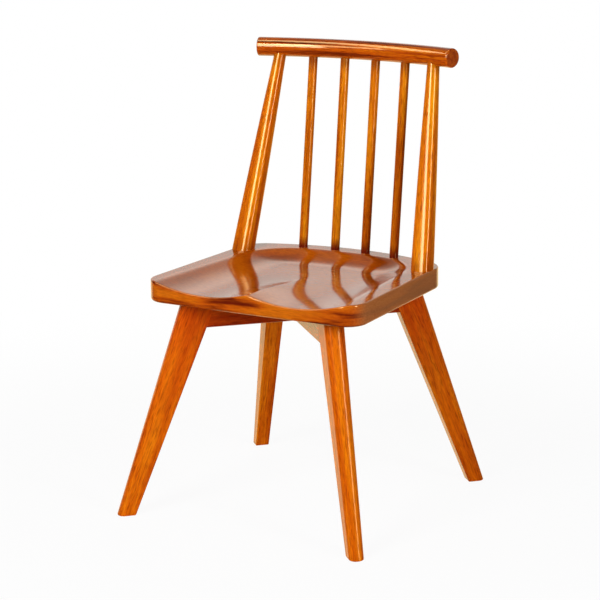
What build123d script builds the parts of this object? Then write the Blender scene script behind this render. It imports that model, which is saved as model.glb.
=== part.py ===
from build123d import *
import os
from math import cos, radians, sin, sqrt

# A wooden dining chair in millimetres: +Z up, the front towards -Y, and the origin
# on the floor under the crossing of the two rails that carry the seat.

# Seat board
seat_height = 440.0
seat_thickness = 40.0
seat_front_width = 446.0
seat_rear_width = 423.0
seat_front_reach = 197.0
seat_rear_reach = 209.0
seat_rear_bow_radius = 505.0
front_corner_radius = 39.0
rear_corner_radius = 55.0
top_edge_round = 3.0
under_edge_round = 5.0

# Saddle carved into the seat: two thigh troughs with a ridge between them at the front,
# which run into one hollow that climbs to a flat rim at the back
saddle_depth = 17.0
ridge_drop = 4.0
ridge_length = 237.0
trough_spacing = 180.0
rim_width_front = 25.0
rim_width_rear = 44.0
rim_width_back = 36.0
back_slope_length = 60.0
saddle_grid_step = 20.0
saddle_tolerance = 0.05
saddle_degree = 3
upright_tolerance = 0.02

# Legs, splayed along the diagonals
leg_diagonal_angle = 45.0
foot_reach = 342.9
leg_top_reach = 196.4
foot_depth = 32.8
leg_top_depth = 62.4
foot_thickness = 27.3
leg_top_thickness = 37.0
leg_top_round = 17.0
foot_round = 12.4
inner_edge_round = 2.5
joint_edge_round = 0.4
foot_edge_round = 2.0

# Crossed rails
rail_height = 50.0
lap_clearance = 0.1

# Dowels between rails and legs
dowel_diameter = 10.0
dowel_spacing = 24.0
dowel_in_rail = 30.0
dowel_in_leg = 26.0

# Screws that hold the seat on the rails
screw_diameter = 5.0
screw_head_diameter = 9.5
screw_head_height = 3.0
screw_tip_length = 5.0
screw_in_seat = 15.0
screw_recess_depth = 20.0
screw_recess_diameter = 11.0
screw_reach = 105.0

# Crest rail: a round bar bowed backwards
crest_rise = 381.0
crest_diameter = 36.4
crest_chord = 417.0
crest_bow_radius = 700.0
crest_setback = 234.5
crest_end_round = 3.0

# Back posts: rounded squares that taper to round at the crest rail
post_edge_inset = 19.6
post_foot_setback = 110.5
post_top_spacing = 327.0
post_foot_size = 38.4
post_top_size = 23.6
post_swell = 1.5
post_corner_round = 12.5
post_tenon_diameter = 25.0
post_tenon_length = 28.0
post_foot_share = -0.1

# Spindles
spindle_count = 4
spindle_pitch = 66.0
spindle_diameter = 17.2
spindle_inset = 21.0
spindle_in_seat = 26.0

# Fits of glued round joints
joint_clearance = 0.1
socket_end_clearance = 0.5
back_end_past_centre = 4.0

# Levels and places worked out from the sizes above
seat_underside = seat_height - seat_thickness
rail_bottom = seat_underside - rail_height
rail_middle = seat_underside - rail_height / 2
joint_bottom = rail_bottom + inner_edge_round
crest_height = seat_height + crest_rise
crest_underside = crest_height - crest_diameter / 2
trough_centre = trough_spacing / 2
rim_lowest = seat_height - saddle_depth - top_edge_round
dowel_levels = (rail_middle - dowel_spacing / 2, rail_middle + dowel_spacing / 2)
leg_angles = {
    "rear_right_leg": leg_diagonal_angle,
    "rear_left_leg": 180.0 - leg_diagonal_angle,
    "front_left_leg": 180.0 + leg_diagonal_angle,
    "front_right_leg": 360.0 - leg_diagonal_angle,
}
rail_angles = {
    "front_left_rail": leg_diagonal_angle,
    "front_right_rail": 180.0 - leg_diagonal_angle,
}
lap_levels = {
    "front_left_rail": (rail_middle - lap_clearance / 2, seat_underside),
    "front_right_rail": (rail_bottom, rail_middle + lap_clearance / 2),
}
side_signs = {"left_post": -1, "right_post": 1}
spindle_places = [spindle_pitch * (n - (spindle_count - 1) / 2) for n in range(spindle_count)]


def bow(x, middle, radius):
    """Setback at x of an arc that lies furthest back in the middle."""
    return middle - radius + sqrt(radius**2 - x**2)


def seat_rear_edge(x):
    return bow(x, seat_rear_reach, seat_rear_bow_radius)


def crest_line(x):
    return bow(x, crest_setback, crest_bow_radius)


def seat_side_edge(y):
    """Half width of the seat at y, along its straight side."""
    rear_corner = seat_rear_edge(seat_rear_width / 2)
    share = (y + seat_front_reach) / (rear_corner + seat_front_reach)
    return (seat_front_width + share * (seat_rear_width - seat_front_width)) / 2


def saddle_height(x, y):
    """Height of the carved surface; it passes the flat rim where the hollow ends."""
    share = (y + seat_front_reach) / (post_foot_setback + seat_front_reach)
    rim_width = rim_width_front + share * (rim_width_rear - rim_width_front)
    hollow_edge = seat_side_edge(y) - rim_width
    side = max(0.0, (x - trough_centre) / (hollow_edge - trough_centre))
    behind_slope = y - (seat_rear_edge(x) - rim_width_back - back_slope_length)
    back = max(0.0, behind_slope / back_slope_length)
    fade = min(1.0, max(0.0, (y + seat_front_reach) / ridge_length))
    ridge_rise = (saddle_depth - ridge_drop) * (1.0 - fade**2 * (3.0 - 2.0 * fade))
    middle = max(0.0, (trough_centre - x) / trough_centre)
    return seat_height - saddle_depth * (1.0 - side**2 - back**2) + ridge_rise * middle**2


def steps(start, end, step):
    """Evenly spaced values from start to end, about one step apart."""
    count = round((end - start) / step)
    return [start + (end - start) * n / count for n in range(count + 1)]


def diagonal(angle):
    return Vector(cos(radians(angle)), sin(radians(angle)), 0)


def across_plane(angle):
    """Vertical plane square to a diagonal, with its own y axis upwards."""
    return Plane(origin=(0, 0, 0), x_dir=diagonal(angle + 90), z_dir=diagonal(angle))


def along_leg(foot_value, top_value, level):
    """Value at a level of a size that changes evenly from the foot to the top of a leg."""
    return foot_value + (top_value - foot_value) * level / seat_underside


def leg_inner_reach(level):
    """Distance of the leg's inner face from the middle of the chair."""
    return along_leg(foot_reach - foot_depth / 2, leg_top_reach - leg_top_depth / 2, level)


def leg_joint_plane(angle):
    """Sloping plane where a leg meets its rail, facing outwards."""
    lean = Vector(0, 0, leg_inner_reach(0) - leg_inner_reach(seat_underside))
    outwards = diagonal(angle)
    return Plane(origin=outwards * leg_inner_reach(0), z_dir=outwards * seat_underside + lean)


def rail_corners(bottom, top, gap):
    """Corners of a piece of a rail's section, as thick as the legs, with a gap all along its sides."""
    half_low = along_leg(foot_thickness, leg_top_thickness, bottom) / 2 + gap
    half_high = along_leg(foot_thickness, leg_top_thickness, top) / 2 + gap
    return (-half_low, bottom), (half_low, bottom), (half_high, top), (-half_high, top)


def dowel_plane(angle, level, distance):
    """Plane square to a dowel, at a distance from the face where a leg meets its rail."""
    reach = leg_inner_reach(level) + distance
    return Plane(origin=diagonal(angle) * reach + Vector(0, 0, level), z_dir=diagonal(angle))


def axis_plane(foot, head, distance):
    """Plane square to the line from foot to head, at a distance along it."""
    direction = (head - foot).normalized()
    return Plane(origin=foot + direction * distance, x_dir=(1, 0, 0), z_dir=direction)


def post_line(side):
    x_foot = side * (seat_side_edge(post_foot_setback) - post_edge_inset)
    x_head = side * post_top_spacing / 2
    foot = Vector(x_foot, post_foot_setback, seat_height)
    head = Vector(x_head, crest_line(x_head), crest_height)
    return foot, head


def post_width(share):
    """Width of a post at a share of its way from the seat to the crest rail."""
    taper = (post_foot_size - post_top_size) * share
    return post_foot_size - taper + 4 * post_swell * share * (1 - share)


def spindle_line(x):
    foot = Vector(x, seat_rear_edge(x) - spindle_inset, seat_height)
    head = Vector(x, crest_line(x), crest_height)
    return foot, head


def finish(builder, name):
    builder.part.label = name
    export_step(builder.part, f"parts/{name}.step")


os.makedirs("parts", exist_ok=True)

# Half of the carved surface, with the ridge on the middle line
saddle_reach = seat_front_width / 2 + saddle_grid_step
saddle_front = -seat_front_reach - saddle_grid_step
saddle_back = seat_rear_reach + saddle_grid_step
saddle_rows = [
    [(x, y, saddle_height(x, y)) for x in steps(0.0, saddle_reach, saddle_grid_step)]
    for y in steps(saddle_front, saddle_back, saddle_grid_step)
]
saddle_surface = Face.make_surface_from_array_of_points(
    saddle_rows, tol=saddle_tolerance, min_deg=saddle_degree, max_deg=saddle_degree
)

# Screw places, one under each leg's end of a rail
screw_points = [diagonal(angle) * screw_reach for angle in leg_angles.values()]

# Seat: one half is outlined, carved and rounded, then mirrored and bored
with BuildPart() as seat:
    rear_corner = (seat_rear_width / 2, seat_rear_edge(seat_rear_width / 2))
    front_corner = (seat_front_width / 2, -seat_front_reach)
    with BuildSketch(Plane.XY.offset(seat_underside)) as outline:
        with BuildLine():
            Polyline((0, seat_rear_reach), (0, -seat_front_reach), front_corner, rear_corner)
            RadiusArc(rear_corner, (0, seat_rear_reach), -seat_rear_bow_radius)
        make_face()
        fillet(outline.vertices().sort_by_distance(front_corner)[0], radius=front_corner_radius)
        fillet(outline.vertices().sort_by_distance(rear_corner)[0], radius=rear_corner_radius)
    extrude(amount=seat_thickness)
    extrude(saddle_surface, amount=2 * seat_thickness, dir=(0, 0, 1), mode=Mode.SUBTRACT)
    middle_face = seat.faces().sort_by(Axis.X)[0]
    under_edges = seat.edges().group_by(Axis.Z)[0] - middle_face.edges()
    fillet(under_edges, radius=under_edge_round)
    side_faces = seat.faces().filter_by(lambda face: abs(face.normal_at().Z) < upright_tolerance)
    outer_edges = side_faces.sort_by(Axis.X)[1:].edges()
    rim_edges = outer_edges.filter_by(lambda edge: edge.bounding_box().min.Z > rim_lowest)
    fillet(rim_edges, radius=top_edge_round)
    mirror(about=Plane.YZ)
    for side in side_signs.values():
        with BuildSketch(axis_plane(*post_line(side), -post_tenon_length - socket_end_clearance)):
            Circle(post_tenon_diameter / 2 + joint_clearance)
        extrude(amount=2 * post_tenon_length, mode=Mode.SUBTRACT)
    for x in spindle_places:
        with BuildSketch(axis_plane(*spindle_line(x), -spindle_in_seat - socket_end_clearance)):
            Circle(spindle_diameter / 2 + joint_clearance)
        extrude(amount=2 * spindle_in_seat, mode=Mode.SUBTRACT)
    for point in screw_points:
        with BuildSketch(Plane(origin=point + Vector(0, 0, seat_underside))):
            Circle(screw_diameter / 2 + joint_clearance)
        extrude(amount=screw_in_seat + socket_end_clearance, mode=Mode.SUBTRACT)
finish(seat, "seat")

# Crossed rails, as thick as the legs they meet and lapped where they cross
for name, angle in rail_angles.items():
    with BuildPart() as rail:
        with BuildSketch(across_plane(angle)) as section:
            Polygon(*rail_corners(rail_bottom, seat_underside, 0), align=None)
            fillet(section.vertices().group_by(Axis.Y)[0], radius=inner_edge_round)
        extrude(amount=leg_inner_reach(0), both=True)
        for end in (angle, angle + 180):
            split(bisect_by=leg_joint_plane(end), keep=Keep.BOTTOM)
        with BuildSketch(across_plane(180 - angle)):
            Polygon(*rail_corners(*lap_levels[name], lap_clearance), align=None)
        extrude(amount=leg_top_thickness, both=True, mode=Mode.SUBTRACT)
        for end in (angle, angle + 180):
            for level in dowel_levels:
                with BuildSketch(dowel_plane(end, level, -dowel_in_rail - socket_end_clearance)):
                    Circle(dowel_diameter / 2 + joint_clearance)
                extrude(amount=2 * dowel_in_rail, mode=Mode.SUBTRACT)
            screw_entry = diagonal(end) * screw_reach + Vector(0, 0, rail_bottom)
            with Locations(Plane(origin=screw_entry, z_dir=(0, 0, -1))):
                CounterBoreHole(
                    radius=screw_diameter / 2 + joint_clearance,
                    counter_bore_radius=screw_recess_diameter / 2,
                    counter_bore_depth=screw_recess_depth,
                )
    finish(rail, name)

# Legs: outer edges well rounded, inner edges rounded only below the rail
leg_stages = ((0.0, joint_bottom, inner_edge_round), (joint_bottom, seat_underside, joint_edge_round))
for name, angle in leg_angles.items():
    with BuildPart() as leg:
        for stage_bottom, stage_top, inner_round in leg_stages:
            for level in (stage_bottom, stage_top):
                depth = along_leg(foot_depth, leg_top_depth, level)
                thickness = along_leg(foot_thickness, leg_top_thickness, level)
                outer_round = along_leg(foot_round, leg_top_round, level)
                with BuildSketch(Plane(origin=(0, 0, level), x_dir=diagonal(angle))) as section:
                    with Locations((along_leg(foot_reach, leg_top_reach, level), 0)):
                        Rectangle(depth, thickness)
                    fillet(section.vertices().group_by(Axis.X)[-1], radius=outer_round)
                    fillet(section.vertices().group_by(Axis.X)[0], radius=inner_round)
            loft()
        fillet(leg.edges().group_by(Axis.Z)[0], radius=foot_edge_round)
        for level in dowel_levels:
            with BuildSketch(dowel_plane(angle, level, -dowel_in_leg)):
                Circle(dowel_diameter / 2 + joint_clearance)
            extrude(amount=2 * dowel_in_leg + socket_end_clearance, mode=Mode.SUBTRACT)
    finish(leg, name)

# Dowels, two in each joint of a rail and a leg
with BuildPart() as leg_dowels:
    for angle in leg_angles.values():
        for level in dowel_levels:
            with BuildSketch(dowel_plane(angle, level, -dowel_in_rail)):
                Circle(dowel_diameter / 2)
            extrude(amount=dowel_in_rail + dowel_in_leg)
finish(leg_dowels, "leg_dowels")

# Seat screws, heads at the bottom of their recesses
screw_start = rail_bottom + screw_recess_depth
screw_end = seat_underside + screw_in_seat
with BuildPart() as seat_screws:
    for point in screw_points:
        with BuildSketch(Plane(origin=point, x_dir=(1, 0, 0), z_dir=(0, -1, 0))):
            with BuildLine():
                Polyline(
                    (0, screw_start - screw_head_height),
                    (screw_head_diameter / 2, screw_start - screw_head_height),
                    (screw_head_diameter / 2, screw_start),
                    (screw_diameter / 2, screw_start),
                    (screw_diameter / 2, screw_end - screw_tip_length),
                    (0, screw_end),
                    close=True,
                )
            make_face()
        revolve(axis=Axis(point, (0, 0, 1)))
finish(seat_screws, "seat_screws")

# Posts: shaped square to their own lines, cut level at the foot, with a round tenon below
for name, side in side_signs.items():
    foot, head = post_line(side)
    post_length = (head - foot).length
    post_top = post_length * (crest_underside - seat_height) / crest_rise
    with BuildPart() as post:
        for share in (post_foot_share, 0.5, 1.0):
            width = post_width(share)
            corner = min(post_corner_round, width / 2 - joint_clearance)
            with BuildSketch(axis_plane(foot, head, share * post_top)):
                RectangleRounded(width, width, corner)
        loft()
        split(bisect_by=Plane.XY.offset(seat_height), keep=Keep.TOP)
        with BuildSketch(axis_plane(foot, head, -post_tenon_length)):
            Circle(post_tenon_diameter / 2)
        extrude(amount=2 * post_tenon_length)
        with BuildSketch(axis_plane(foot, head, post_top)):
            Circle(post_top_size / 2)
        extrude(amount=post_length - post_top + back_end_past_centre)
    finish(post, name)

# Spindles
for number, x in enumerate(spindle_places, start=1):
    foot, head = spindle_line(x)
    with BuildPart() as spindle:
        with BuildSketch(axis_plane(foot, head, -spindle_in_seat)):
            Circle(spindle_diameter / 2)
        extrude(amount=spindle_in_seat + (head - foot).length + back_end_past_centre)
    finish(spindle, f"spindle_{number}")

# Crest rail, bored from below for the posts and the spindles
back_ends = [(*post_line(side), post_top_size) for side in side_signs.values()]
back_ends += [(*spindle_line(x), spindle_diameter) for x in spindle_places]
with BuildPart() as crest_rail:
    crest_end = Vector(crest_chord / 2, crest_line(crest_chord / 2), crest_height)
    crest_start = Vector(-crest_end.X, crest_end.Y, crest_height)
    with BuildLine() as crest_path:
        RadiusArc(crest_start, crest_end, crest_bow_radius)
    with BuildSketch(Plane(origin=crest_path.line @ 0, z_dir=crest_path.line % 0)):
        Circle(crest_diameter / 2)
    sweep()
    end_edges = crest_rail.edges().filter_by(GeomType.CIRCLE).sort_by(Axis.X)
    fillet([end_edges[0], end_edges[-1]], radius=crest_end_round)
    for foot, head, diameter in back_ends:
        bore_end = (head - foot).length + back_end_past_centre + socket_end_clearance
        with BuildSketch(axis_plane(foot, head, bore_end)):
            Circle(diameter / 2 + joint_clearance)
        extrude(amount=-crest_diameter, mode=Mode.SUBTRACT)
finish(crest_rail, "crest_rail")
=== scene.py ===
from math import copysign, cos, log2, pi, radians, sin, sqrt

import bpy
import numpy as np
from mathutils import Matrix, Vector


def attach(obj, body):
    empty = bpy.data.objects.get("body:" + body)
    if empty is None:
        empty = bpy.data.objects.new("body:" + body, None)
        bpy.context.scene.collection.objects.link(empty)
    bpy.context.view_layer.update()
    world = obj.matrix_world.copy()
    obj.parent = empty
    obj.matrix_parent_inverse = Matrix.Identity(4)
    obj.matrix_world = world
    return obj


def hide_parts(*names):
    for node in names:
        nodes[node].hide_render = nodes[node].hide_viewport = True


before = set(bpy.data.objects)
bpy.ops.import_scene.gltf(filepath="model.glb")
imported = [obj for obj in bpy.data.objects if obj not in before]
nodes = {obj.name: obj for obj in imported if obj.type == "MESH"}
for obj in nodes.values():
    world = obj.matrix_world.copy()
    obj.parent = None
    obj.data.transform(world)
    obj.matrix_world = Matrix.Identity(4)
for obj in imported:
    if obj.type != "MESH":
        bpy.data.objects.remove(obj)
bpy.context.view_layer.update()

# Sizes in millimetres, in the row frame: +Z up, the front towards -Y
MM = 0.001
# Seat board
SEAT_TOP = 440.0
SEAT_UNDER = 400.0
SEAT_FRONT_WIDTH = 446.0
SEAT_REAR_WIDTH = 423.0
SEAT_FRONT = 197.0
SEAT_REAR = 209.0
SEAT_REAR_RADIUS = 505.0
FRONT_CORNER = 39.0
REAR_CORNER = 55.0
TOP_ROUND = 3.0
UNDER_ROUND = 5.0
# Carving of the seat; CARVING_SOFTNESS is a share of a slope's width
SADDLE_DEPTH = 17.0
RIDGE_DROP = 4.0
RIDGE_LENGTH = 237.0
TROUGH_CENTRE = 90.0
RIM_FRONT = 25.0
RIM_REAR = 44.0
RIM_BACK = 36.0
BACK_SLOPE = 60.0
RIM_SOFTNESS = 1.6
CARVING_SOFTNESS = 0.25
RIDGE_SOFTNESS = 2.0
# Legs, measured at the floor and at the underside of the seat
FOOT_REACH = 342.9
LEG_TOP_REACH = 196.4
FOOT_DEPTH = 32.8
LEG_TOP_DEPTH = 62.4
FOOT_THICKNESS = 27.3
LEG_TOP_THICKNESS = 37.0
FOOT_OUTER_ROUND = 12.4
LEG_TOP_OUTER_ROUND = 17.0
LEG_INNER_ROUND = 2.5
JOINT_ROUND = 0.4
JOINT_BOTTOM = 352.5
JOINT_STEP = 2.0
FOOT_EDGE_ROUND = 2.0
# Crest rail
CREST_HEIGHT = 821.0
CREST_RADIUS = 18.2
CREST_HALF_CHORD = 208.5
CREST_BOW_RADIUS = 700.0
CREST_SETBACK = 234.5
CREST_END_ROUND = 3.0
# Posts and spindles
POST_EDGE_INSET = 19.6
POST_FOOT_Y = 110.5
POST_TOP_X = 163.5
POST_FOOT_SIZE = 38.4
POST_TOP_SIZE = 23.6
POST_SWELL = 1.5
POST_CORNER = 12.5
POST_TENON_RADIUS = 12.5
POST_TENON_LENGTH = 28.0
SPINDLE_COUNT = 4
SPINDLE_RADIUS = 8.6
SPINDLE_PITCH = 66.0
SPINDLE_INSET = 21.0
SPINDLE_IN_SEAT = 26.0
BACK_END_PAST_CENTRE = 4.0
SEAM_OVERLAP = 0.2
# Shifts of the grain, so that the pieces differ
SEAT_GRAIN_SHIFT = 97.0
LEG_GRAIN_STEP = 1000.0
POST_GRAIN_STEP = 900.0
SPINDLE_GRAIN_STEP = 700.0

# Height of the painted shade at a joint, in millimetres, and shares of the stain colour: painted shade
# at joints, a darkening towards the spindles' feet, and end grain, which on the seat's sides is paler
# as painted sheen; the power sets how fast that fades round the corners of the seat
JOINT_SHADE_HEIGHT = 34.0
POST_JOINT_SHADE = 0.4
SPINDLE_FOOT_DARKENING = 0.26
SPINDLE_TOP_SHADE = 0.7
CREST_END_STAIN = 0.75
END_GRAIN_AND_SHEEN_SHARE = 0.75
END_GRAIN_AND_SHEEN_POWER = 6

SHARP_ANGLE = radians(40)
WHITE = (1.0, 1.0, 1.0)


def smooth_step(t):
    return t**2 * (3.0 - 2.0 * t)


def bow(x, middle, radius):
    """Setback of an arc that lies furthest back in the middle."""
    return middle - radius + np.sqrt(radius**2 - np.asarray(x) ** 2)


def seat_rear_edge(x):
    return bow(x, SEAT_REAR, SEAT_REAR_RADIUS)


def crest_line(x):
    return bow(x, CREST_SETBACK, CREST_BOW_RADIUS)


def seat_side_edge(y):
    corner = seat_rear_edge(SEAT_REAR_WIDTH / 2)
    share = (y + SEAT_FRONT) / (corner + SEAT_FRONT)
    return (SEAT_FRONT_WIDTH + share * (SEAT_REAR_WIDTH - SEAT_FRONT_WIDTH)) / 2


def soft_rise(t):
    """Nought below nought and t above it, with an eased start."""
    return (t + np.sqrt(t * t + CARVING_SOFTNESS**2)) / 2


def seat_surface(x, y):
    """Height of the carved top, with its creases a little softened."""
    x = np.sqrt(x * x + RIDGE_SOFTNESS**2) - RIDGE_SOFTNESS
    share = (y + SEAT_FRONT) / (POST_FOOT_Y + SEAT_FRONT)
    rim = RIM_FRONT + share * (RIM_REAR - RIM_FRONT)
    side = soft_rise((x - TROUGH_CENTRE) / (seat_side_edge(y) - rim - TROUGH_CENTRE))
    back = soft_rise((y - seat_rear_edge(x) + RIM_BACK + BACK_SLOPE) / BACK_SLOPE)
    fade = np.clip((y + SEAT_FRONT) / RIDGE_LENGTH, 0.0, 1.0)
    ridge = (SADDLE_DEPTH - RIDGE_DROP) * (1.0 - smooth_step(fade))
    middle = soft_rise((TROUGH_CENTRE - x) / TROUGH_CENTRE)
    carved = -SADDLE_DEPTH * (1.0 - side**2 - back**2) + ridge * middle**2
    softened = -RIM_SOFTNESS * np.logaddexp(0.0, -carved / RIM_SOFTNESS)
    return SEAT_TOP + softened


# Mesh helpers
def new_piece(name, points, faces, grain, stain_and_shade, node, material):
    """A smooth mesh that stands for one CAD node.

    Points and grain places are in millimetres, and the stain share for each point blends in the stain
    colour: painted shade at joints and under the seat, end grain elsewhere, paler as painted sheen on
    the seat's sides.
    """
    mesh = bpy.data.meshes.new(name)
    mesh.from_pydata((np.asarray(points) * MM).tolist(), [], faces)
    mesh.update()
    attribute = mesh.attributes.new("grain", "FLOAT_VECTOR", "POINT")
    attribute.data.foreach_set("vector", (np.asarray(grain) * MM).astype(np.float32).ravel())
    attribute = mesh.attributes.new("stain_and_shade", "FLOAT", "POINT")
    attribute.data.foreach_set("value", np.asarray(stain_and_shade, dtype=np.float32))
    mesh.polygons.foreach_set("use_smooth", [True] * len(mesh.polygons))
    mesh.set_sharp_from_angle(angle=SHARP_ANGLE)
    mesh.materials.append(material)
    piece = bpy.data.objects.new(name, mesh)
    bpy.context.scene.collection.objects.link(piece)
    weighted = piece.modifiers.new("even_normals", "WEIGHTED_NORMAL")
    weighted.weight = 100
    weighted.keep_sharp = True
    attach(piece, "root")
    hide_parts(node)


def ring_faces(rows, count, closed_ends=True):
    """Quads between rows of points that each go once round, and caps if the ends are closed."""
    faces = []
    for i in range(rows - 1):
        for j in range(count):
            k = (j + 1) % count
            faces.append((i * count + j, i * count + k, (i + 1) * count + k, (i + 1) * count + j))
    if closed_ends:
        faces.append(tuple(reversed(range(count))))
        faces.append(tuple(range((rows - 1) * count, rows * count)))
    return faces


def quarter_round(radius, steps):
    """Pairs along a quarter circle: the first grows from nought as the second shrinks to it."""
    angles = [pi / 2 * n / steps for n in range(steps + 1)]
    return [(radius * (1 - cos(angle)), radius * (1 - sin(angle))) for angle in angles]


def rounded_rectangle(half_x, half_y, inner_round, outer_round, per_corner):
    """Points anticlockwise round a rectangle; the +x corners take the outer round."""
    points = []
    for sign_x, sign_y, start in ((1, -1, -90), (1, 1, 0), (-1, 1, 90), (-1, -1, 180)):
        radius = outer_round if sign_x > 0 else inner_round
        for n in range(per_corner + 1):
            angle = radians(start + 90 * n / per_corner)
            points.append((
                sign_x * (half_x - radius) + radius * cos(angle),
                sign_y * (half_y - radius) + radius * sin(angle),
            ))
    return np.array(points)


def crowned_square(half, corner, count=56):
    """Points round a square with crowned sides, as wide across its corners as a rounded one."""
    diagonal = (half - corner) * sqrt(2) + corner
    power = 1 / (0.5 - log2(diagonal / half))
    points = []
    for n in range(count):
        angle = 2 * pi * n / count
        x = copysign(abs(cos(angle)) ** (2 / power), cos(angle))
        y = copysign(abs(sin(angle)) ** (2 / power), sin(angle))
        points.append((half * x, half * y))
    return np.array(points)


# Node helpers
def noise(tree, vector, scale, detail, roughness, seed):
    """Noise stretched along the grain: scale holds the features per metre along each axis."""
    mapping = tree.nodes.new("ShaderNodeMapping")
    mapping.inputs["Scale"].default_value = scale
    mapping.inputs["Location"].default_value = (seed, seed * 0.7, seed * 1.3)
    tree.links.new(vector, mapping.inputs["Vector"])
    texture = tree.nodes.new("ShaderNodeTexNoise")
    texture.inputs["Scale"].default_value = 1.0
    texture.inputs["Detail"].default_value = detail
    texture.inputs["Roughness"].default_value = roughness
    tree.links.new(mapping.outputs["Vector"], texture.inputs["Vector"])
    return texture.outputs["Fac"]


def ramp(tree, value, stops):
    """Colour ramp from (position, colour) stops."""
    node = tree.nodes.new("ShaderNodeValToRGB")
    elements = node.color_ramp.elements
    while len(elements) < len(stops):
        elements.new(0.5)
    for element, (position, colour) in zip(elements, stops):
        element.position = position
        element.color = (*colour, 1.0)
    tree.links.new(value, node.inputs["Fac"])
    return node.outputs["Color"]


def mix_colour(tree, blend, factor, a, b):
    """Blend of two colours, each a socket or a value, as the factor is."""
    node = tree.nodes.new("ShaderNodeMix")
    node.data_type = "RGBA"
    node.blend_type = blend
    for name, value in (("Factor", factor), ("A", a), ("B", b)):
        if hasattr(value, "is_output"):
            tree.links.new(value, node.inputs[name])
        else:
            node.inputs[name].default_value = value
    return node.outputs["Result"]


def map_range(tree, value, source, target, interpolation="SMOOTHSTEP"):
    """A value carried from one (low, high) range to another."""
    node = tree.nodes.new("ShaderNodeMapRange")
    node.interpolation_type = interpolation
    node.inputs["From Min"].default_value, node.inputs["From Max"].default_value = source
    node.inputs["To Min"].default_value, node.inputs["To Max"].default_value = target
    tree.links.new(value, node.inputs["Value"])
    return node.outputs[0]


def combine(tree, operation, first, second):
    node = tree.nodes.new("ShaderNodeMath")
    node.operation = operation
    tree.links.new(first, node.inputs[0])
    tree.links.new(second, node.inputs[1])
    return node.outputs[0]


def mix_shaders(tree, share, first, second):
    node = tree.nodes.new("ShaderNodeMixShader")
    tree.links.new(share, node.inputs["Fac"])
    tree.links.new(first, node.inputs[1])
    tree.links.new(second, node.inputs[2])
    return node.outputs[0]


def add_bump(tree, shader, height, strength, distance):
    bump = tree.nodes.new("ShaderNodeBump")
    bump.inputs["Strength"].default_value = strength
    bump.inputs["Distance"].default_value = distance
    tree.links.new(height, bump.inputs["Height"])
    tree.links.new(bump.outputs["Normal"], shader.inputs["Normal"])


def grey(level):
    return (level, level, level)


def srgb(*display):
    """Linear colour of red, green and blue written in display values from 0 to 255."""
    shares = [value / 255 for value in display]
    return tuple(s / 12.92 if s <= 0.04045 else ((s + 0.055) / 1.055) ** 2.4 for s in shares)


# Materials: scales are features per metre along each axis, and the grain runs along the third
STREAK_SCALE = (70, 70, 4)
FIBRE_SCALE = (420, 420, 70)
FIBRE_DARK = (0.78, 0.69, 0.62)
FIBRE_LIGHT = (1.06, 1.09, 1.07)
FIBRE_SEED = 3.0
PORE_SCALE = (420, 420, 45)
PORE_DARK = (0.55, 0.36, 0.26)
PORE_SEED = 7.0
PORE_BUMP = 0.12
PORE_RELIEF = 0.0004
LACQUER_TINT = (1.0, 0.72, 0.32, 1.0)
COAT_ROUGHNESS = 0.05
COAT_IOR = 1.5
# Share of the top tone on upward faces: calmer grain, darkened as painted shade
UPWARD_TONE_AND_SHADE_SHARE = 0.65
MOTTLE_SCALE = (900, 900, 900)
MOTTLE_SEED = 11.0
TURNING_SCALE = (200, 200, 4000)
TURNING_SEED = 12.0
TURNING_BUMP = 0.1
TURNING_RELIEF = 0.0002


def new_material(name):
    material = bpy.data.materials.new(name)
    material.use_nodes = True
    tree = material.node_tree
    return material, tree, tree.nodes["Principled BSDF"]


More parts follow.
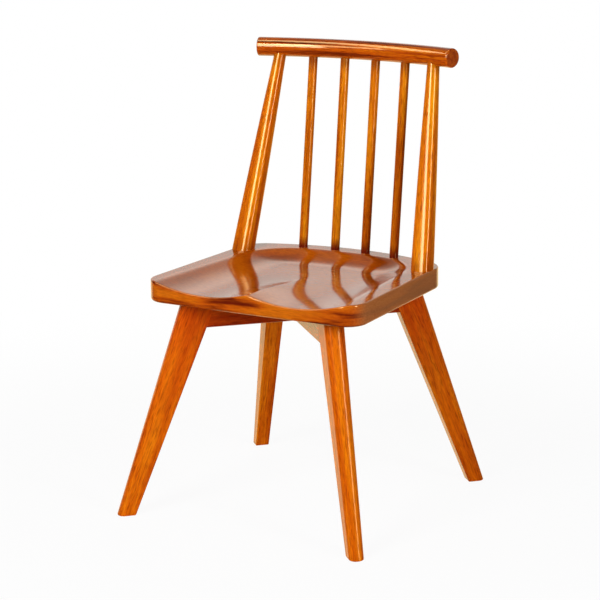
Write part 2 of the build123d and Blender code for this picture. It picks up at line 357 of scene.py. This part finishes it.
def wood(
    name, dark, middle, light, stain_and_shade, turn=None, streak=STREAK_SCALE, spread=0.16, top=None,
    pore_depth=0.7, roughness=0.11, gloss=0.8, coat=0.2, seed=0.0,
):
    """Lacquered wood: soft streaks, fine fibres and short dark pores along the grain's third axis.

    The grain comes from the mesh, or from the object's own axes turned by turn.
    top is a colour that the faces tend to as they face upwards: a calmer grain, darkened as painted
    shade for the weaker light from above.
    """
    material, tree, shader = new_material(name)
    if turn is None:
        source = tree.nodes.new("ShaderNodeAttribute")
        source.attribute_name = "grain"
        place = source.outputs["Vector"]
    else:
        source = tree.nodes.new("ShaderNodeTexCoord")
        turned = tree.nodes.new("ShaderNodeMapping")
        turned.inputs["Rotation"].default_value = turn
        tree.links.new(source.outputs["Object"], turned.inputs["Vector"])
        place = turned.outputs["Vector"]
    streaks = noise(tree, place, streak, detail=3.0, roughness=0.5, seed=seed)
    fibres = noise(tree, place, FIBRE_SCALE, detail=3.0, roughness=0.6, seed=seed + FIBRE_SEED)
    pores = noise(tree, place, PORE_SCALE, detail=1.0, roughness=0.5, seed=seed + PORE_SEED)
    streaked = ramp(tree, streaks, ((0.5 - spread, dark), (0.5, middle), (0.5 + spread, light)))
    if top is not None:
        geometry = tree.nodes.new("ShaderNodeNewGeometry")
        facing = tree.nodes.new("ShaderNodeSeparateXYZ")
        tree.links.new(geometry.outputs["Normal"], facing.inputs[0])
        # Upward faces tend to the top tone: calmer grain, darkened as painted shade for the weaker
        # light from above
        upward_tone_and_shade = ramp(tree, facing.outputs["Z"], ((0.4, grey(0.0)), (0.8, grey(UPWARD_TONE_AND_SHADE_SHARE))))
        streaked = mix_colour(tree, "MIX", upward_tone_and_shade, streaked, (*top, 1.0))
    # Stain colour by each point's share: painted shade at joints and under the seat, end grain on the
    # crest and on the seat's sides, where it is paler as painted sheen
    share = tree.nodes.new("ShaderNodeAttribute")
    share.attribute_name = "stain_and_shade"
    base = mix_colour(tree, "MIX", share.outputs["Fac"], streaked, (*stain_and_shade, 1.0))
    fibre_tone = ramp(tree, fibres, ((0.3, FIBRE_DARK), (0.65, FIBRE_LIGHT)))
    toned = mix_colour(tree, "MULTIPLY", 1.0, base, fibre_tone)
    pore_tone = ramp(tree, pores, ((0.30, PORE_DARK), (0.44, WHITE)))
    colour = mix_colour(tree, "MULTIPLY", pore_depth, toned, pore_tone)
    tree.links.new(colour, shader.inputs["Base Color"])
    rough = ramp(tree, fibres, ((0.3, grey(1.25 * roughness)), (0.7, grey(0.8 * roughness))))
    tree.links.new(rough, shader.inputs["Roughness"])
    add_bump(tree, shader, pore_tone, PORE_BUMP, PORE_RELIEF)
    shader.inputs["Specular IOR Level"].default_value = gloss
    shader.inputs["Specular Tint"].default_value = LACQUER_TINT
    shader.inputs["Coat Weight"].default_value = coat
    shader.inputs["Coat Roughness"].default_value = COAT_ROUGHNESS
    shader.inputs["Coat IOR"].default_value = COAT_IOR
    return material


def plated_steel(name):
    """Zinc plating with a fine mottle and faint turning marks."""
    material, tree, shader = new_material(name)
    place = tree.nodes.new("ShaderNodeTexCoord").outputs["Object"]
    mottle = noise(tree, place, MOTTLE_SCALE, detail=3.0, roughness=0.6, seed=MOTTLE_SEED)
    marks = noise(tree, place, TURNING_SCALE, detail=1.0, roughness=0.5, seed=TURNING_SEED)
    colour = ramp(tree, mottle, ((0.35, (0.50, 0.51, 0.53)), (0.65, (0.66, 0.66, 0.64))))
    tree.links.new(colour, shader.inputs["Base Color"])
    rough = ramp(tree, mottle, ((0.3, grey(0.36)), (0.7, grey(0.26))))
    tree.links.new(rough, shader.inputs["Roughness"])
    add_bump(tree, shader, marks, TURNING_BUMP, TURNING_RELIEF)
    shader.inputs["Metallic"].default_value = 1.0
    return material


def turn_to_third(angle):
    """Rotation that lays a level direction at this angle along the third axis."""
    level = Matrix.Rotation(radians(-angle), 3, "Z")
    return tuple((Matrix.Rotation(radians(-90), 3, "Y") @ level).to_euler("XYZ"))


# Dark red of the painted shade where posts and spindles meet the seat and crest
JOINT_SHADE_RED = srgb(112, 24, 6)
# Rails: darker, redder copies of the legs' wood, as painted shade of the seat above them
RAIL_SHADED_TONES = {
    "dark": srgb(168, 48, 8), "middle": srgb(188, 62, 8), "light": srgb(204, 78, 10), "stain_and_shade": JOINT_SHADE_RED,
}
# The legs' stain colour is the painted shadow of the seat, towards their tops
LEG_WOOD = wood(
    "leg_wood", dark=srgb(202, 84, 4), middle=srgb(224, 106, 6), light=srgb(240, 132, 12),
    stain_and_shade=srgb(202, 62, 6), roughness=0.16, gloss=0.45, coat=0.0, seed=1.0,
)
RAIL_LEFT_SHADED_WOOD = wood("rail_left_shaded_wood", **RAIL_SHADED_TONES, turn=turn_to_third(45), seed=2.0)
RAIL_RIGHT_SHADED_WOOD = wood("rail_right_shaded_wood", **RAIL_SHADED_TONES, turn=turn_to_third(135), seed=2.5)
POST_WOOD = wood(
    "post_wood", dark=srgb(210, 96, 4), middle=srgb(234, 125, 8), light=srgb(246, 150, 14),
    stain_and_shade=JOINT_SHADE_RED, seed=3.0,
)
SPINDLE_WOOD = wood(
    "spindle_wood", dark=srgb(186, 82, 4), middle=srgb(222, 120, 8), light=srgb(246, 154, 18),
    stain_and_shade=JOINT_SHADE_RED, gloss=0.65, coat=0.0, seed=4.0,
)
CREST_WOOD = wood(
    "crest_wood", dark=srgb(104, 24, 4), middle=srgb(194, 79, 6), light=srgb(226, 118, 9),
    stain_and_shade=srgb(172, 72, 26), streak=(110, 110, 3), spread=0.12, coat=0.25, seed=5.0,
)
# Seat: its stain colour is the end grain of the sides, made paler as painted sheen; top is the calm
# tone of upward faces, darkened as painted shade
SEAT_WOOD = wood(
    "seat_wood", dark=srgb(104, 22, 4), middle=srgb(192, 82, 8), light=srgb(208, 106, 12),
    stain_and_shade=srgb(184, 118, 70), streak=(6, 70, 7.3), spread=0.12, top=srgb(186, 86, 7),
    pore_depth=0.35, seed=6.0,
)
DOWEL_WOOD = wood(
    "dowel_wood", dark=srgb(196, 160, 112), middle=srgb(214, 182, 136), light=srgb(228, 200, 158),
    stain_and_shade=srgb(196, 160, 112), turn=turn_to_third(45), roughness=0.5, coat=0.0, seed=8.0,
)
SCREW_STEEL = plated_steel("screw_steel")


# Seat
def seat_outline(per_corner=20, per_side=60):
    """Points and outward normals round the seat, anticlockwise from the middle of the front."""
    rear_y = float(seat_rear_edge(SEAT_REAR_WIDTH / 2))
    front = np.array((SEAT_FRONT_WIDTH / 2, -SEAT_FRONT))
    rear = np.array((SEAT_REAR_WIDTH / 2, rear_y))
    along = (rear - front) / np.linalg.norm(rear - front)
    outward = np.array((along[1], -along[0]))
    rear_arc_centre = np.array((0.0, SEAT_REAR - SEAT_REAR_RADIUS))
    # Front corner arc, tangent to the front edge and the side
    y = -SEAT_FRONT + FRONT_CORNER
    x = front[0] + (-FRONT_CORNER - (y - front[1]) * outward[1]) / outward[0]
    front_centre = np.array((x, y))
    # Rear corner arc, tangent to the side and inside the rear arc
    inner = SEAT_REAR_RADIUS - REAR_CORNER
    base = rear - outward * REAR_CORNER
    b = np.dot(base - rear_arc_centre, along)
    c = np.dot(base - rear_arc_centre, base - rear_arc_centre) - inner**2
    rear_centre = base + along * (-b + sqrt(b * b - c))
    direction = rear_centre - rear_arc_centre
    side_angle = np.arctan2(outward[1], outward[0])
    rear_angle = np.arctan2(direction[1], direction[0])
    points = []
    normals = []

    def add_line(start, end, normal):
        for n in range(per_side):
            points.append(start + (end - start) * n / per_side)
            normals.append(normal)

    def add_arc(centre, radius, start, end, steps):
        for n in range(steps):
            angle = start + (end - start) * n / steps
            normals.append(np.array((cos(angle), sin(angle))))
            points.append(centre + radius * normals[-1])

    forward = np.array((0.0, -1.0))
    add_line(np.array((0.0, -SEAT_FRONT)), np.array((front_centre[0], -SEAT_FRONT)), forward)
    add_arc(front_centre, FRONT_CORNER, -pi / 2, side_angle, per_corner)
    add_line(front_centre + FRONT_CORNER * outward, rear_centre + REAR_CORNER * outward, outward)
    add_arc(rear_centre, REAR_CORNER, side_angle, rear_angle, per_corner)
    add_arc(rear_arc_centre, SEAT_REAR_RADIUS, rear_angle, pi / 2, per_side)
    points.append(np.array((0.0, SEAT_REAR)))
    normals.append(-forward)
    mirror = np.array((-1.0, 1.0))
    points += [point * mirror for point in points[-2:0:-1]]
    normals += [normal * mirror for normal in normals[-2:0:-1]]
    return np.array(points), np.array(normals)


def build_seat(rings=110, round_steps=7):
    outline, normals = seat_outline()
    count = len(outline)
    rows = []

    def add_edge_row(inset, height):
        flat = outline - normals * inset
        rows.append(np.column_stack((flat, np.broadcast_to(height, count))))

    for rise, inset in quarter_round(UNDER_ROUND, round_steps):
        add_edge_row(inset, SEAT_UNDER + rise)
    rim_flat = outline - normals * TOP_ROUND
    rim = seat_surface(rim_flat[:, 0], rim_flat[:, 1])
    for inset, drop in quarter_round(TOP_ROUND, round_steps):
        add_edge_row(inset, rim - drop)
    edge_rows = len(rows)
    for n in range(1, rings):
        flat = rim_flat * (1 - n / rings)
        rows.append(np.column_stack((flat, seat_surface(flat[:, 0], flat[:, 1]))))
    faces = ring_faces(len(rows), count, closed_ends=False)
    points = np.concatenate(rows)
    middle = len(points)
    points = np.vstack((points, (0.0, 0.0, float(seat_surface(0.0, 0.0)))))
    last = (len(rows) - 1) * count
    faces += [(last + j, last + (j + 1) % count, middle) for j in range(count)]
    faces.append(tuple(reversed(range(count))))
    # The grain runs along X
    grain = points[:, (1, 2, 0)] - np.array((0.0, 0.0, SEAT_GRAIN_SHIFT))
    stain_and_shade = np.zeros(len(points))
    # End grain on the seat's sides, paler as painted sheen
    end_grain_and_sheen = END_GRAIN_AND_SHEEN_SHARE * normals[:, 0] ** END_GRAIN_AND_SHEEN_POWER
    stain_and_shade[:count * edge_rows] = np.tile(end_grain_and_sheen, edge_rows)
    new_piece("seat_board", points, faces, grain, stain_and_shade, "seat", SEAT_WOOD)


# Legs
def along_leg(foot, top, level):
    return foot + (top - foot) * level / SEAT_UNDER


def build_leg(name, angle, seat_shadow, grain_shift, round_steps=5, rows=12, per_corner=12):
    levels = quarter_round(FOOT_EDGE_ROUND, round_steps)
    plain = JOINT_BOTTOM - FOOT_EDGE_ROUND
    levels += [(FOOT_EDGE_ROUND + plain * n / rows, 0.0) for n in range(1, rows + 1)]
    levels += [(JOINT_BOTTOM + JOINT_STEP, 0.0), (SEAT_UNDER, 0.0)]
    outward = np.array((cos(radians(angle)), sin(radians(angle))))
    across = np.array((-outward[1], outward[0]))
    points = []
    grain = []
    for level, inset in levels:
        depth = along_leg(FOOT_DEPTH, LEG_TOP_DEPTH, level) / 2 - inset
        thickness = along_leg(FOOT_THICKNESS, LEG_TOP_THICKNESS, level) / 2 - inset
        outer = along_leg(FOOT_OUTER_ROUND, LEG_TOP_OUTER_ROUND, level) - inset
        inner = JOINT_ROUND if level > JOINT_BOTTOM else LEG_INNER_ROUND - inset
        reach = along_leg(FOOT_REACH, LEG_TOP_REACH, level)
        for u, v in rounded_rectangle(depth, thickness, inner, outer, per_corner):
            flat = outward * (reach + u) + across * v
            points.append((flat[0], flat[1], level))
            grain.append((u + grain_shift, v + grain_shift, level + grain_shift))
    faces = ring_faces(len(levels), len(points) // len(levels))
    # Painted shadow of the seat: each leg darker and redder towards its top
    stain_and_shade = [seat_shadow * (point[2] / SEAT_UNDER) ** 2 for point in points]
    new_piece(name + "_piece", points, faces, grain, stain_and_shade, name, LEG_WOOD)


# Back
def axis_frame(foot, head):
    """Unit vectors across and along the line from foot to head, as rows."""
    along = (head - foot) / np.linalg.norm(head - foot)
    first = np.array((1.0, 0.0, 0.0)) - along * along[0]
    first /= np.linalg.norm(first)
    return np.array((first, np.cross(along, first), along))


def axis_lengths(foot, head):
    """Lengths from the foot to the underside of the crest rail and to the end inside it."""
    length = np.linalg.norm(head - foot)
    top = length * (CREST_HEIGHT - CREST_RADIUS - SEAT_TOP) / (CREST_HEIGHT - SEAT_TOP)
    return top, length + BACK_END_PAST_CENTRE


def ring_at(places, distance):
    """Places across an axis, with their distance along it."""
    return np.column_stack((places, np.broadcast_to(distance, len(places))))


def joint_shade(distance):
    """Painted shade that gathers at a joint and fades away from it."""
    return smooth_step(np.clip(1.0 - distance / JOINT_SHADE_HEIGHT, 0.0, 1.0))


def build_post(name, side, grain_shift, rows=40):
    foot_x = float(seat_side_edge(POST_FOOT_Y)) - POST_EDGE_INSET
    foot = np.array((side * foot_x, POST_FOOT_Y, SEAT_TOP))
    head = np.array((side * POST_TOP_X, float(crest_line(POST_TOP_X)), CREST_HEIGHT))
    axes = axis_frame(foot, head)
    top, end = axis_lengths(foot, head)

    def section(share):
        swell = 4 * POST_SWELL * share * (1 - share)
        width = POST_FOOT_SIZE - (POST_FOOT_SIZE - POST_TOP_SIZE) * share + swell
        return crowned_square(width / 2, min(POST_CORNER, width / 2))

    def level_cut(places):
        """Distances along the axis at which these places meet the rim of the seat."""
        return -(places @ axes[:2, 2]) / axes[2, 2] - SEAM_OVERLAP

    tenon = crowned_square(POST_TENON_RADIUS, POST_TENON_RADIUS)
    start = level_cut(section(0.0))
    rings = [ring_at(tenon, -POST_TENON_LENGTH), ring_at(tenon, level_cut(tenon))]
    for n in range(rows + 1):
        distance = start + (top - start) * n / rows
        places = np.array([section(share)[j] for j, share in enumerate(distance / top)])
        rings.append(ring_at(places, distance))
    rings.append(ring_at(section(1.0), end))
    offsets = np.concatenate(rings)
    faces = ring_faces(len(rings), len(tenon))
    along = offsets[:, 2]
    # Painted shade where the post meets the seat and the crest
    stain_and_shade = POST_JOINT_SHADE * np.maximum(joint_shade(along), joint_shade(top - along))
    points = foot + offsets @ axes
    grain = offsets + grain_shift
    new_piece(name + "_piece", points, faces, grain, stain_and_shade, name, POST_WOOD)


def build_spindle(name, x, grain_shift, around=40, joint_rows=10, rows=8):
    foot = np.array((x, float(seat_rear_edge(x)) - SPINDLE_INSET, SEAT_TOP))
    head = np.array((x, float(crest_line(x)), CREST_HEIGHT))
    top, end = axis_lengths(foot, head)
    distances = [-SPINDLE_IN_SEAT]
    distances += list(np.linspace(0.0, JOINT_SHADE_HEIGHT, joint_rows, endpoint=False))
    distances += list(np.linspace(JOINT_SHADE_HEIGHT, top - JOINT_SHADE_HEIGHT, rows, endpoint=False))
    distances += list(np.linspace(top - JOINT_SHADE_HEIGHT, top, joint_rows + 1))
    distances.append(end)
    angles = 2 * pi * np.arange(around) / around
    places = SPINDLE_RADIUS * np.column_stack((np.cos(angles), np.sin(angles)))
    offsets = np.concatenate([ring_at(places, distance) for distance in distances])
    faces = ring_faces(len(distances), around)
    along = offsets[:, 2]
    # Painted shade where the spindle meets the seat and the crest, and darker towards the foot
    stain_and_shade = np.maximum(joint_shade(along), SPINDLE_TOP_SHADE * joint_shade(top - along))
    stain_and_shade = np.maximum(stain_and_shade, SPINDLE_FOOT_DARKENING * (1.0 - along / end))
    points = foot + offsets @ axis_frame(foot, head)
    grain = offsets + grain_shift
    new_piece(name + "_piece", points, faces, grain, stain_and_shade, name, SPINDLE_WOOD)


def build_crest(around=64, rows=90, round_steps=6):
    half_length = np.arcsin(CREST_HALF_CHORD / CREST_BOW_RADIUS) * CREST_BOW_RADIUS
    straight = half_length - CREST_END_ROUND
    rounded = quarter_round(CREST_END_ROUND, round_steps)[:-1]
    steps = [(-half_length + rise, CREST_RADIUS - inset) for rise, inset in rounded]
    steps += [(-straight + 2 * straight * n / rows, CREST_RADIUS) for n in range(rows + 1)]
    steps += [(-w, radius) for w, radius in reversed(steps[:round_steps])]
    bow_centre_y = CREST_SETBACK - CREST_BOW_RADIUS
    points = []
    grain = []
    stain_and_shade = []
    for w, radius in steps:
        turn = w / CREST_BOW_RADIUS
        for j in range(around):
            angle = 2 * pi * j / around
            u = radius * cos(angle)
            v = radius * sin(angle)
            reach = CREST_BOW_RADIUS + u
            points.append((reach * sin(turn), bow_centre_y + reach * cos(turn), CREST_HEIGHT + v))
            grain.append((u, v, w))
            stain_and_shade.append(CREST_END_STAIN * (CREST_RADIUS - radius) / CREST_END_ROUND)
    faces = [tuple(reversed(face)) for face in ring_faces(len(steps), around)]
    new_piece(
        "crest_rail_piece", points, faces, grain, stain_and_shade, "crest_rail", CREST_WOOD
    )


# Compass angle of each leg from +X, and the share of the painted shadow of the seat at its top
LEGS = {
    "rear_right_leg": (45, 0.8),
    "rear_left_leg": (135, 0.5),
    "front_left_leg": (225, 0.8),
    "front_right_leg": (315, 0.45),
}
# CAD pieces that stay
KEPT_NODES = {
    "front_left_rail": RAIL_LEFT_SHADED_WOOD,
    "front_right_rail": RAIL_RIGHT_SHADED_WOOD,
    "leg_dowels": DOWEL_WOOD,
    "seat_screws": SCREW_STEEL,
}
build_seat()
for index, (leg_name, (leg_angle, leg_seat_shadow)) in enumerate(LEGS.items()):
    build_leg(leg_name, leg_angle, leg_seat_shadow, LEG_GRAIN_STEP * index)
build_post("left_post", -1, 0.0)
build_post("right_post", 1, POST_GRAIN_STEP)
for index in range(SPINDLE_COUNT):
    spindle_x = SPINDLE_PITCH * (index - (SPINDLE_COUNT - 1) / 2)
    build_spindle(f"spindle_{index + 1}", spindle_x, SPINDLE_GRAIN_STEP * index)
build_crest()
for node_name, node_material in KEPT_NODES.items():
    nodes[node_name].data.materials.clear()
    nodes[node_name].data.materials.append(node_material)

# Floor, in metres: plain white to the camera, but less so near the chair, where its shadow shows
FLOOR_HALF = 30
FLOOR_GREY = 0.8
SHADOW_RANGE = (0.5, 1.6)
SHADOW_WHITE = (0.94, 1.0)


def build_floor():
    mesh = bpy.data.meshes.new("floor")
    corners = [(-1, -1), (1, -1), (1, 1), (-1, 1)]
    mesh.from_pydata([(FLOOR_HALF * x, FLOOR_HALF * y, 0) for x, y in corners], [], [(0, 1, 2, 3)])
    floor = bpy.data.objects.new("floor", mesh)
    bpy.context.scene.collection.objects.link(floor)
    floor.visible_glossy = False
    material, tree, shader = new_material("floor")
    tree.nodes.remove(shader)
    diffuse = tree.nodes.new("ShaderNodeBsdfDiffuse")
    diffuse.inputs["Color"].default_value = (*grey(FLOOR_GREY), 1.0)
    glow = tree.nodes.new("ShaderNodeEmission")
    glow.inputs["Color"].default_value = (*WHITE, 1.0)
    geometry = tree.nodes.new("ShaderNodeNewGeometry")
    distance = tree.nodes.new("ShaderNodeVectorMath")
    distance.operation = "LENGTH"
    tree.links.new(geometry.outputs["Position"], distance.inputs[0])
    white = map_range(tree, distance.outputs["Value"], SHADOW_RANGE, SHADOW_WHITE)
    path = tree.nodes.new("ShaderNodeLightPath")
    share = combine(tree, "MULTIPLY", path.outputs["Is Camera Ray"], white)
    surface = mix_shaders(tree, share, diffuse.outputs[0], glow.outputs[0])
    tree.links.new(surface, tree.nodes["Material Output"].inputs["Surface"])
    mesh.materials.append(material)


def warm(strength):
    """Slightly warm white of the backdrop at this strength."""
    return (strength, 0.99 * strength, 0.95 * strength)


# World: plain light grey where it is seen. Lacquer mirrors a graded backdrop behind the chair and to
# its left, with a dark studio elsewhere, and all other light is a soft fill that weakens upwards.
DARK_STUDIO = 0.04
BACKDROP_RIGHT_EDGE = (0.05, 0.32)
BACKDROP_FRONT_EDGE = (0.0, 0.3)
# Colours of the mirrored backdrop by height: 0 is straight down, 0.5 level and 1 straight up
BACKDROP_TONES = (
    (0.43, (1.30, 1.02, 0.56)),
    (0.51, warm(0.92)),
    (0.63, warm(0.92)),
    (0.665, warm(1.40)),
    (0.70, warm(1.30)),
    (0.75, warm(0.60)),
    (0.82, warm(0.28)),
    (0.99, warm(0.20)),
)
FILL_HEIGHT = (0.1, 0.7)
FILL_STRENGTH = (0.28, 0.06)


def build_world():
    world = bpy.data.worlds.new("studio")
    bpy.context.scene.world = world
    world.use_nodes = True
    tree = world.node_tree
    tree.nodes.clear()

    def background(strength, colour=None):
        node = tree.nodes.new("ShaderNodeBackground")
        tree.links.new(strength, node.inputs["Strength"])
        if colour is not None:
            tree.links.new(colour, node.inputs["Color"])
        return node.outputs[0]

    place = tree.nodes.new("ShaderNodeTexCoord")
    direction = tree.nodes.new("ShaderNodeSeparateXYZ")
    tree.links.new(place.outputs["Generated"], direction.inputs[0])
    x, y, z = direction.outputs
    leftward = map_range(tree, x, BACKDROP_RIGHT_EDGE, (1.0, DARK_STUDIO))
    rearward = map_range(tree, y, BACKDROP_FRONT_EDGE, (DARK_STUDIO, 1.0))
    height = map_range(tree, z, (-1.0, 1.0), (0.0, 1.0), "LINEAR")
    behind = combine(tree, "MULTIPLY", leftward, rearward)
    mirrored = background(behind, ramp(tree, height, BACKDROP_TONES))
    fill = background(map_range(tree, z, FILL_HEIGHT, FILL_STRENGTH))
    plain = tree.nodes.new("ShaderNodeBackground")
    plain.inputs["Strength"].default_value = 1.0
    path = tree.nodes.new("ShaderNodeLightPath")
    seen = combine(
        tree, "MAXIMUM", path.outputs["Is Camera Ray"], path.outputs["Is Transmission Ray"]
    )
    unseen = mix_shaders(tree, path.outputs["Is Glossy Ray"], fill, mirrored)
    surface = mix_shaders(tree, seen, unseen, plain.outputs[0])
    output = tree.nodes.new("ShaderNodeOutputWorld")
    tree.links.new(surface, output.inputs["Surface"])


# Lights: left and right softboxes in front, two warm ones that only show in the lacquer, and one
# behind that lights the far side without showing in it. Places are in metres.
AIM = Vector((0, 0, 0.5))
WARM_LIGHT = (1.0, 0.82, 0.56)


def softbox(
    name, azimuth, distance, height, size, watts, colour=WHITE, diffuse=True, glossy=True
):
    """Rectangular light that faces the chair, placed by its compass angle from +X."""
    lamp = bpy.data.lights.new(name, "AREA")
    lamp.shape = "RECTANGLE"
    lamp.size, lamp.size_y = size
    lamp.energy = watts
    lamp.color = colour
    light = bpy.data.objects.new(name, lamp)
    place = Vector((distance * cos(radians(azimuth)), distance * sin(radians(azimuth)), height))
    light.location = place
    light.rotation_euler = (AIM - place).to_track_quat("-Z", "Y").to_euler()
    light.visible_diffuse = diffuse
    light.visible_glossy = glossy
    bpy.context.scene.collection.objects.link(light)


build_floor()
build_world()
softbox("left_softbox", azimuth=260, distance=2.6, height=2.0, size=(1.1, 1.75), watts=72)
softbox("right_softbox", azimuth=343, distance=2.6, height=1.3, size=(0.45, 1.7), watts=29)
softbox(
    "top_softbox", azimuth=200, distance=0.9, height=2.8, size=(0.7, 2.4), watts=42,
    colour=WARM_LIGHT, diffuse=False,
)
softbox(
    "high_softbox", azimuth=244, distance=2.6, height=2.5, size=(1.8, 0.8), watts=36,
    colour=WARM_LIGHT, diffuse=False,
)
softbox(
    "back_softbox", azimuth=120, distance=2.6, height=0.8, size=(1.4, 1.2), watts=24, glossy=False
)

# Camera, at the photograph's angle
CAMERA_PLACE = (1.8954, -3.2759, 1.3292)
CAMERA_AZIMUTH = radians(30.11)
CAMERA_ELEVATION = radians(14.02)
CAMERA_ROLL = radians(-0.65)
FOCAL_PIXELS = 2103.07
IMAGE_PIXELS = 600
SENSOR_WIDTH = 36.0


def build_camera():
    lens = bpy.data.cameras.new("camera")
    lens.sensor_fit = "HORIZONTAL"
    lens.sensor_width = SENSOR_WIDTH
    lens.lens = FOCAL_PIXELS * SENSOR_WIDTH / IMAGE_PIXELS
    camera = bpy.data.objects.new("camera", lens)
    forward = Vector((
        -sin(CAMERA_AZIMUTH) * cos(CAMERA_ELEVATION),
        cos(CAMERA_AZIMUTH) * cos(CAMERA_ELEVATION),
        -sin(CAMERA_ELEVATION),
    ))
    level_right = Vector((cos(CAMERA_AZIMUTH), sin(CAMERA_AZIMUTH), 0.0))
    level_up = level_right.cross(forward)
    right = cos(CAMERA_ROLL) * level_right + sin(CAMERA_ROLL) * level_up
    up = cos(CAMERA_ROLL) * level_up - sin(CAMERA_ROLL) * level_right
    turn = Matrix((right, up, -forward)).transposed().to_4x4()
    camera.matrix_world = Matrix.Translation(CAMERA_PLACE) @ turn
    bpy.context.scene.collection.objects.link(camera)
    bpy.context.scene.camera = camera


build_camera()
bpy.context.scene.view_settings.view_transform = "Standard"
